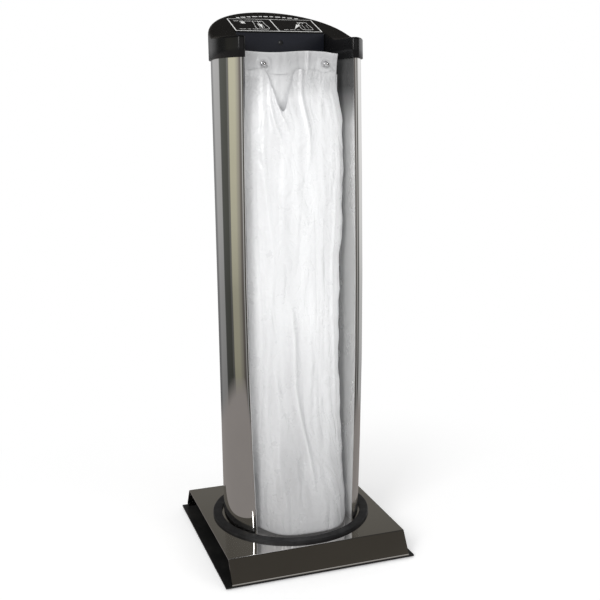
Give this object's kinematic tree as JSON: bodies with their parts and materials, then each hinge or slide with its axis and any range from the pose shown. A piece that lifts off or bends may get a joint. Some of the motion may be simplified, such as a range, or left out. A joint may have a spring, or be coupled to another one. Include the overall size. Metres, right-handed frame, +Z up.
{
  "type": "wet umbrella bag dispenser",
  "caption": "Free-standing round polished-steel column on a square folded base, open down the front, holding long film bags for wet umbrellas under a sloping black hood.",
  "frame": {"origin": "on the floor under the centre of the column and of the base", "axes": "+Z up the column; -Y is the open front where umbrellas go in; +X is on the right of a person in front of it"},
  "size_m": [0.36, 0.372, 1],
  "materials": {
    "polished_steel": "mirror-polished stainless sheet",
    "recess_steel": "polished stainless sheet, softer than the outside",
    "zinc_steel": "zinc-plated steel",
    "bright_nut": "bright nickel-plated brass",
    "black_painted_steel": "satin black paint",
    "black_rubber": "matt black rubber",
    "black_plastic": "black moulded plastic, semi-gloss",
    "panel_plastic": "blue-black plastic, satin",
    "black_screw": "black oxide steel",
    "label_print": "black laminated label with white pictograms",
    "bag_film": null
  },
  "bodies": {
    "stand": {"base_plate": "black_painted_steel", "rubber_feet": "black_rubber", "base_cover": "polished_steel", "cover_screws": "zinc_steel", "rivet_nuts": "zinc_steel", "base_ring": "black_rubber", "column_shell": "polished_steel", "recess_liner": "recess_steel", "column_flange": "zinc_steel", "flange_bolts": "zinc_steel", "flange_nuts": "zinc_steel", "bag_studs": "zinc_steel", "stud_lock_nuts": "zinc_steel", "cap_hood": "black_plastic", "label_plate": "label_print", "front_panel": "panel_plastic", "panel_screw": "black_screw", "panel_nut": "zinc_steel"},
    "bag_pack": {"bag_header": "bag_film", "bag_stack": "bag_film"},
    "open_bag": {"front_bag": "bag_film"},
    "left_nut": {"left_dome_nut": "bright_nut"},
    "right_nut": {"right_dome_nut": "bright_nut"}
  },
  "joints": [
    {"name": "pack_off_studs", "type": "slide", "parent": "stand", "child": "bag_pack", "axis": [0, -1, 0], "range_m": [0, 0.16]},
    {"name": "left_nut_off", "type": "slide", "parent": "stand", "child": "left_nut", "axis": [0, -1, 0], "range_m": [0, 0.24]},
    {"name": "right_nut_off", "type": "slide", "parent": "stand", "child": "right_nut", "axis": [0, -1, 0], "range_m": [0, 0.24]},
    {"name": "bag_pull", "type": "slide", "parent": "bag_pack", "child": "open_bag", "axis": [0, -1, 0], "range_m": [0, 0.25]}
  ],
  "couplings": [
    {"joint": "left_nut_off", "follows": "pack_off_studs", "ratio": 1.5},
    {"joint": "right_nut_off", "follows": "pack_off_studs", "ratio": 1.5}
  ]
}
